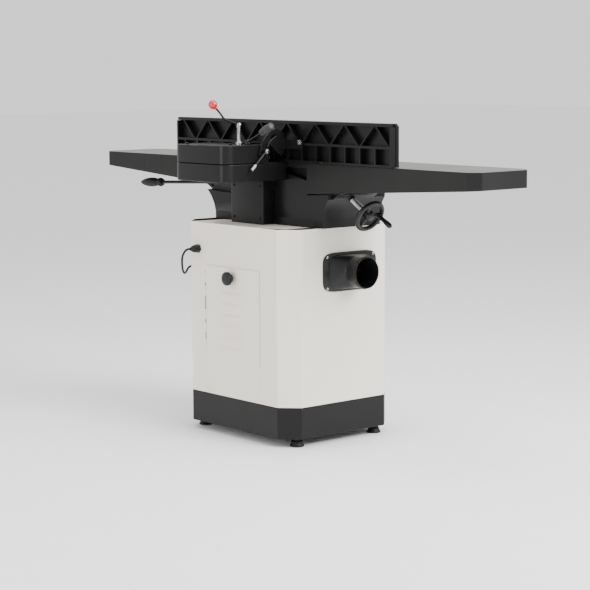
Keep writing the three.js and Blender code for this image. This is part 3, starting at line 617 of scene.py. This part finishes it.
# ---- base casting, tables, cutterhead, drive ----
def make_castings():
    refined("base_casting", bevel=0.003, segments=3)
    for node in ("infeed_table", "outfeed_table"):
        refined(node, bevel=0.0016, segments=3)
    refined("belt_guard", bevel=0.002, segments=3)
    for node in ("rear_bearing_block", "front_bearing_block"):
        refined(node, bevel=0.0015)
    refined("cutterhead", bevel=0.0003, segments=1)
    flange_top = 651.1
    guard_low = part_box("belt_guard")[0]
    places = [at(x, side * 86, flange_top) for x in (-205, -130, 120, 215) for side in (-1, 1)]
    hex_bolts("base_bolts", "base_casting", places, UP, 7.0, "black_paint")
    corners = [Vector((guard_low.x + dx * MM, guard_low.y - 0.0001, z * MM)) for dx in (14,
        135) for z in (645, 738)]
    pan_screws("belt_guard_screws", "belt_guard", corners, REAR, 4.0, "black_paint")
    pad = [(0, 0), (5, 0), (5, 3), (3, 3.4), (2.6, 1.2), (0, 1.2)]
    ends = (("infeed_table", -1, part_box("infeed_table")[0].x),
            ("outfeed_table", 1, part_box("outfeed_table")[1].x))
    for name, side, stop in ends:
        bm = bmesh.new()
        for y in (-60, 13, 86):
            place = Vector((stop - side * 160 * MM, at(0, y, 0).y, TABLE_TOP - 14.6 * MM))
            turned_into(bm, pad, place, DOWN, 20)
        finish_piece(mesh_piece(name + "_pads", bm), name, "steel", False)
    side_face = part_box("infeed_table")[0].y
    bm = bmesh.new()
    for x in (-588, -494):
        foot = Vector((at(x, 0, 0).x, side_face + 0.6 * MM, 762 * MM))
        swept_into(bm, [foot, foot + Vector((0, 0, 47 * MM))], 1.1, 8)
    finish_piece(mesh_piece("infeed_table_ribs", bm), "infeed_table", "black_paint", False)


def make_motor():
    """A finned motor shell with end bells, a terminal box and its foot."""
    low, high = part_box("motor")
    centre = middle("motor_pulley", y=low.y)
    length = (high.y - low.y) / MM
    profile = [(9.6, 0), (40, 0), (58, 4), (70, 14), (72, 24), (72, 30)]
    fins = 22
    for k in range(fins):
        y = 32 + (length - 64) * k / fins
        profile += [(70, y), (74.6, y + 1.2), (74.6, y + 3.6), (70, y + 4.8)]
    bell = ((72, 30), (72, 22), (66, 10), (50, 2), (46, 0), (0, 0))
    profile += [(radius, length - back) for radius, back in bell]
    profile += [(0, 144), (9.6, 144)]
    bm = bmesh.new()
    turned_into(bm, [*profile, profile[0]], centre, FRONT, 48)
    finish_piece(mesh_piece("motor_shell", bm), "motor", bevel=0.0005, segments=1)
    bm = bmesh.new()
    foot = ((-75, -60, 216.4), (45, 120, 224))
    ribs = [((x, -60, 224), (x + 14, 120, 246)) for x in (-60, 16)]
    terminal_box = ((54, 2, 272), (84.6, 68, 328))
    for near_corner, far_corner in (foot, *ribs, terminal_box):
        corner, far = at(*near_corner), at(*far_corner)
        matrix = Matrix.Translation((corner + far) / 2) @ Matrix.Diagonal((*(far - corner), 1))
        bmesh.ops.create_cube(bm, size=1.0, matrix=matrix)
    finish_piece(mesh_piece("motor_foot", bm), "motor", replace=False, bevel=0.002)


def make_drive():
    """The two-groove pulley on the cutterhead, the motor's pulley and the belt."""
    radius, hub, width = 25, 10.3, 12
    root, crest = radius - 3.4, radius - 0.6
    grooves = [(radius, 1.2), (root, 2.6), (root, 4), (crest, 5.4), (crest, 6.6), (root, 8), (root, 9.4),
               (radius, 10.8)]
    profile = [(hub, 0), (radius, 0), *grooves, (radius, width), (hub, width), (hub, 0)]
    centre = middle("cutterhead_pulley", y=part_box("cutterhead_pulley")[0].y)
    turned("cutterhead_pulley_fine", "cutterhead_pulley", profile, centre, FRONT, 0.0002, steps=64)
    refined("motor_pulley", bevel=0.0003, segments=1)
    refined("drive_belt", bevel=0.0004, segments=1)


# ---- fence support, carriage and fence ----
def make_fence_group():
    for node in ("fence_support", "fence_carriage"):
        refined(node, bevel=0.0045, segments=4)
    refined("fence", bevel=0.0022, segments=3)
    refined("tilt_arm", bevel=0.0006)
    refined("fence_hinge_pin", bevel=0.0006)
    low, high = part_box("fence_carriage")
    top = high.z + 0.1 * MM
    places = [Vector((low.x + 30 * MM, low.y + 32 * MM, top)), at(61, -262, top / MM)]
    hex_bolts("carriage_bolts", "fence_carriage", places, UP, 6.0, "black_paint")
    make_carriage_rim(low, high)
    arm_low, arm_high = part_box("tilt_arm")
    bolt = Vector((arm_high.x - 9 * MM, arm_high.y - 6.2 * MM, (arm_low.z + arm_high.z) / 2))
    hex_bolts("tilt_arm_bolts", "tilt_arm", [bolt], REAR, 7.5)
    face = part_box("fence")[0].y
    plugs = [Vector((at(x, 0, 0).x, face - 0.1 * MM, 816 * MM)) for x in (-300, -150, 300, 450)]
    pan_screws("fence_plugs", "fence", plugs, REAR, 2.6, "black_paint")
    stud = middle("tilt_clamp_stud", x=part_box("tilt_clamp_stud")[0].x)
    turned("tilt_stud", "tilt_clamp_stud", [(0, 0), (4, 0), (4, 8.8), (0, 8.8)], stud, OUTFEED, 0.0003,
           steps=32)


def make_carriage_rim(low, high):
    """A raised rim along the carriage's rear and outfeed edges, round the corner between them."""
    inset, radius = 4 * MM, 31 * MM
    outer_x, outer_y = high.x - inset, low.y + inset
    rim = [Vector((low.x + 120 * MM, outer_y, high.z)), Vector((outer_x - radius - 2 * MM, outer_y, high.z))]
    centre = Vector((outer_x - radius, outer_y + radius, high.z))
    for k in range(9):
        a = math.radians(-90 + 90 * k / 8)
        rim.append(centre + Vector((math.cos(a), math.sin(a), 0)) * radius)
    rim.append(Vector((outer_x, high.y - 75 * MM, high.z)))
    bm = bmesh.new()
    swept_into(bm, rim, 1.5, 12)
    finish_piece(mesh_piece("carriage_rim", bm), "fence_carriage", replace=False)


def make_lock_lever():
    """A post with a bent round lever and a polished ball."""
    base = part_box("fence_lock_lever")[0].z
    foot = at(61, -230, base / MM)
    ball = middle("fence_lock_ball")
    bend = foot + Vector((-25, -30, 72)) * MM
    bm = bmesh.new()
    flange = [(0, 0), (10, 0), (10, 6), (8.5, 7.5), (6.2, 8.2), (5.5, 10)]
    post = [(5.5, 46), (6.4, 48), (6.4, 60), (5.4, 61.8), (0, 62)]
    turned_into(bm, flange + post, foot, UP, 32)
    finish_piece(mesh_piece("lock_post", bm), "fence_lock_lever", "steel", False, 0.0004)
    bm = bmesh.new()
    start = foot + Vector((0, 0, 57)) * MM
    path = smooth_path([start, foot + Vector((-7, -8.5, 61)) * MM, bend, bend + (ball - bend) * 0.4, ball], 6)
    swept_into(bm, path, 3.1, 18)
    finish_piece(mesh_piece("lock_lever", bm), "fence_lock_lever", bevel=0.0004)
    bm = bmesh.new()
    bmesh.ops.create_uvsphere(bm, u_segments=48, v_segments=28, radius=13 * MM)
    axis = (ball - bend).normalized()
    bm.transform(Matrix.Translation(ball) @ axis.to_track_quat("Z", "Y").to_matrix().to_4x4())
    collar = [(3.4, -14.4), (5.8, -14.4), (6.6, -13.4), (6.6, -10.6), (3.4, -10.6), (3.4, -14.4)]
    turned_into(bm, collar, ball, axis, 32)
    finish_piece(mesh_piece("lock_ball", bm), "fence_lock_ball")


def make_carriage_handle():
    """A boss with a bent round rod that rises to a ribbed grip."""
    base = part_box("carriage_handle")[0].z
    hub = at(72, -206, base / MM)
    bend, tip = at(128, -208, 894), at(187, -212.1, 920.5)
    bm = bmesh.new()
    turned_into(bm, [(0, 0), (9, 0), (9, 8), (7.5, 11), (4, 13.5), (0, 14)], hub, UP, 32)
    rod = [hub + Vector((0, 0, 8 * MM)), at(98, -207, 881.5), bend, (bend + tip) / 2]
    swept_into(bm, smooth_path(rod, 6), 3.6, 18)
    finish_piece(mesh_piece("handle_rod", bm), "carriage_handle", bevel=0.0004)
    start = at(136, -208.5, 897.6)
    along = tip - start
    length = along.length / MM
    profile = [(3.9, 0.4), (8.8, 0), (10, 1.2)]
    ribs = 7
    for k in range(ribs):
        d = 4 + (length - 12) * k / ribs
        swell = 10.2 + 1.6 * math.sin(math.pi * (k + 0.5) / ribs)
        profile += [(swell - 0.7, d), (swell, d + 1.0), (swell, d + 4.4), (swell - 0.7, d + 5.4)]
    profile += [(10.4, length - 5), (9, length - 1.6), (5, length), (0, length)]
    profile += [(0, length - 6), (3.9, length - 6), (3.9, 0.4)]
    turned("handle_grip", "carriage_handle_grip", profile, start, along, 0.0003)


def make_tilt_lever():
    """A hub with a steel nut and a short drooping lever that ends in a knurled steel grip."""
    hub = at(0, -190, 845)
    hub.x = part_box("tilt_lock_lever")[0].x
    bm = bmesh.new()
    turned_into(bm, [(0, 0), (9, 0), (9, 9.5), (8, 10.5), (0, 10.5)], hub, OUTFEED, 32)
    heel = hub + Vector((5, 0, 0)) * MM
    toe = heel + Vector((0, -54, -52)) * MM
    along = toe - heel
    swept_into(bm, [heel, heel + along * 0.35, heel + along * 0.72], [4.6, 3.8, 3.6], 20)
    finish_piece(mesh_piece("tilt_lever", bm), "tilt_lock_lever", bevel=0.0003)
    profile = [(0, 0), (4.6, 0)]
    for k in range(6):
        profile += [(5.4, 1.2 + 3.0 * k), (5.4, 2.6 + 3.0 * k), (4.8, 3.4 + 3.0 * k)]
    profile += [(5.2, 19.5), (4, 20.4), (0, 20.6)]
    grip_start = heel + along * 0.72
    turned("tilt_lever_grip", "tilt_lock_lever", profile, grip_start, along, 0.0003, "steel", False)
    nut = hub + Vector((10.6, 0, 0)) * MM
    bm = bmesh.new()
    turned_into(bm, [(0, 0), (7.6, 0), (7.6, 1.0), (0, 1.0)], nut, OUTFEED, 32)
    turned_into(bm, [(0, 1.1), (6.2, 1.1), (6.2, 2.8), (5, 3.3), (0, 3.3)], nut, OUTFEED, 6)
    finish_piece(mesh_piece("tilt_nut", bm), "tilt_lock_lever", "steel", False, 0.0003)


# ---- infeed lever, outfeed handwheel ----
def make_infeed_lever():
    """A cross shaft with a boss, and a tapering rod that ends in a barrel-shaped grip."""
    pivot = at(-262, 0, 731)
    neck, tip = at(-634, 0, 713.5), at(-732, 0, 709)
    bm = bmesh.new()
    shaft = [(0, 0), (8, 0), (8, 44), (15, 44), (15, 72), (8, 72), (8, 116), (0, 116)]
    shaft_end = Vector((pivot.x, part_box("infeed_lever")[0].y, pivot.z))
    turned_into(bm, shaft, shaft_end, FRONT, 40)
    swept_into(bm, [pivot, pivot.lerp(neck, 0.1), neck], [7.5, 5.4, 5.2], 24)
    finish_piece(mesh_piece("lever_rod", bm), "infeed_lever", bevel=0.0006)
    along = tip - neck
    start = neck - along.normalized() * 4 * MM
    reach = along.length / MM + 4
    profile = [(5.7, -2), (9, -1.4), (12.2, 2), (14, 7), (14.2, 11), (12.8, 16), (10, 19.5), (9.4, 22)]
    barrel_start, barrel_end = 24, reach + 14.4
    for k in range(25):
        t = k / 24
        swell = 14.9 * math.sin(math.pi * (0.22 + 0.76 * t)) ** 0.6
        profile.append((min(swell, 14.8), barrel_start + (barrel_end - barrel_start) * t))
    profile += [(0, barrel_end + 0.3), (0, reach), (5.7, reach), (5.7, -2)]
    turned("lever_grip", "infeed_lever_grip", profile, start, along, 0.0003, steps=56)


def make_handwheel():
    """A dished wheel with three swept spokes, its threaded screw, and its revolving handle."""
    dip = math.radians(30)
    along = Vector((math.cos(dip), 0, -math.sin(dip)))
    upward = Vector((math.sin(dip), 0, math.cos(dip)))
    centre = at(361, 0, 664)
    bm = bmesh.new()
    rim = []
    for k in range(25):
        a = 2 * math.pi * k / 24
        rim.append((43.2 + 6.6 * math.cos(a), 6.4 * math.sin(a)))
    turned_into(bm, rim, centre, along, 80)
    hub = [(9, -16), (14, -16), (15, -14), (15, 3), (12, 7), (9.2, 8.6), (4, 9), (0, 9), (0, -6), (9, -6),
           (9, -16)]
    turned_into(bm, hub, centre, along, 48)
    spoke = ((11, -4), (22, -4.5), (34, -2), (42, 0))
    for degrees in (0, 120, 240):
        a = math.radians(degrees)
        radial = Vector((0, math.cos(a), 0)) + upward * math.sin(a)
        points = [centre + radial * r * MM + along * d * MM for r, d in spoke]
        swept_into(bm, smooth_path(points, 5), [6.2 - 0.12 * k for k in range(16)], 20)
    boss = centre + along * 3 * MM + Vector((0, 34 * MM, 0))
    turned_into(bm, [(0, -8), (7, -8), (7, 1.4), (4, 2.0), (4, 12), (0, 12)], boss, along, 32)
    finish_piece(mesh_piece("handwheel", bm), "outfeed_handwheel", bevel=0.0005)

    start = centre - along * 150 * MM
    profile = [(0, 0)]
    pitch = 2.5
    for k in range(int(116 / pitch)):
        profile += [(8.7, k * pitch), (7.4, (k + 0.5) * pitch)]
    profile += [(8.7, 117), (8.7, 143.3), (0, 143.3)]
    turned("handwheel_screw", "outfeed_screw", profile, start, along, 0.0)
    neck = [(4.4, 0.4), (6.4, 0), (7, 1), (6.7, 4), (5.7, 10)]
    grip = [(6.2, 20), (7.6, 32), (7.9, 40), (7.2, 46), (5, 50), (2, 51), (0, 51)]
    bore = [(0, 14), (4.4, 13), (4.4, 0.4)]
    turned("handwheel_handle", "handwheel_grip", neck + grip + bore, boss + along * 5 * MM, along, 0.0003)


# ---- operator's side: switch and cutterhead guard ----
def make_operator_side():
    refined("switch_box", bevel=0.0008, segments=3)
    for node in ("start_button", "stop_button"):
        low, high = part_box(node)
        radius = (high.x - low.x) / 2 / MM
        depth = (high.y - low.y) / MM
        profile = [(0, 0), (radius, 0), (radius, depth - 1.2), (radius - 1, depth - 0.2)]
        profile += [(radius * 0.5, depth), (0, depth - 0.3)]
        turned(node + "_cap", node, profile, middle(node, y=low.y), FRONT, 0.0003)
    refined("cutterhead_guard", bevel=0.0012, segments=3)
    foot = middle("guard_pivot", z=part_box("guard_pivot")[0].z)
    post = [(0, 0), (9, 0), (9, 2.8), (6, 2.8), (6, 12.6), (4.8, 14), (0, 14)]
    turned("guard_pivot_post", "guard_pivot", post, foot, UP)


# ---- cord fittings ----
def make_gland():
    """A hexagonal cable gland whose tapered relief grips the lead."""
    centre = middle("cord_gland", y=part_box("cord_gland")[1].y)
    nut = [(3.6, 0), (13.4, 0), (13.4, 2.6), (12.6, 3.2), (12.6, 11), (11.8, 12), (3.6, 12), (3.6, 0)]
    bm = bmesh.new()
    turned_into(bm, nut, centre, REAR, 6)
    profile = [(3.6, 11.5), (10.8, 11.8)]
    for k in range(4):
        d = 12.5 + 2.6 * k
        profile += [(11.6 - 0.5 * k, d), (11.6 - 0.5 * k, d + 1.5), (10.6 - 0.6 * k, d + 1.9)]
    profile += [(8.6, 23.5), (6.6, 27), (5.0, 31), (4.4, 32.6), (3.6, 32.6), (3.6, 11.5)]
    turned_into(bm, profile, centre, REAR, 40)
    finish_piece(mesh_piece("gland", bm), "cord_gland", bevel=0.0003)
    refined("cord_clip", bevel=0.001)


make_camera()
make_cord()
make_floor()
make_lights()
make_cabinet()
make_feet()
make_door()
make_dust_port()
make_castings()
make_motor()
make_drive()
make_fence_group()
make_lock_lever()
make_carriage_handle()
make_tilt_lever()
make_infeed_lever()
make_handwheel()
make_operator_side()
make_gland()
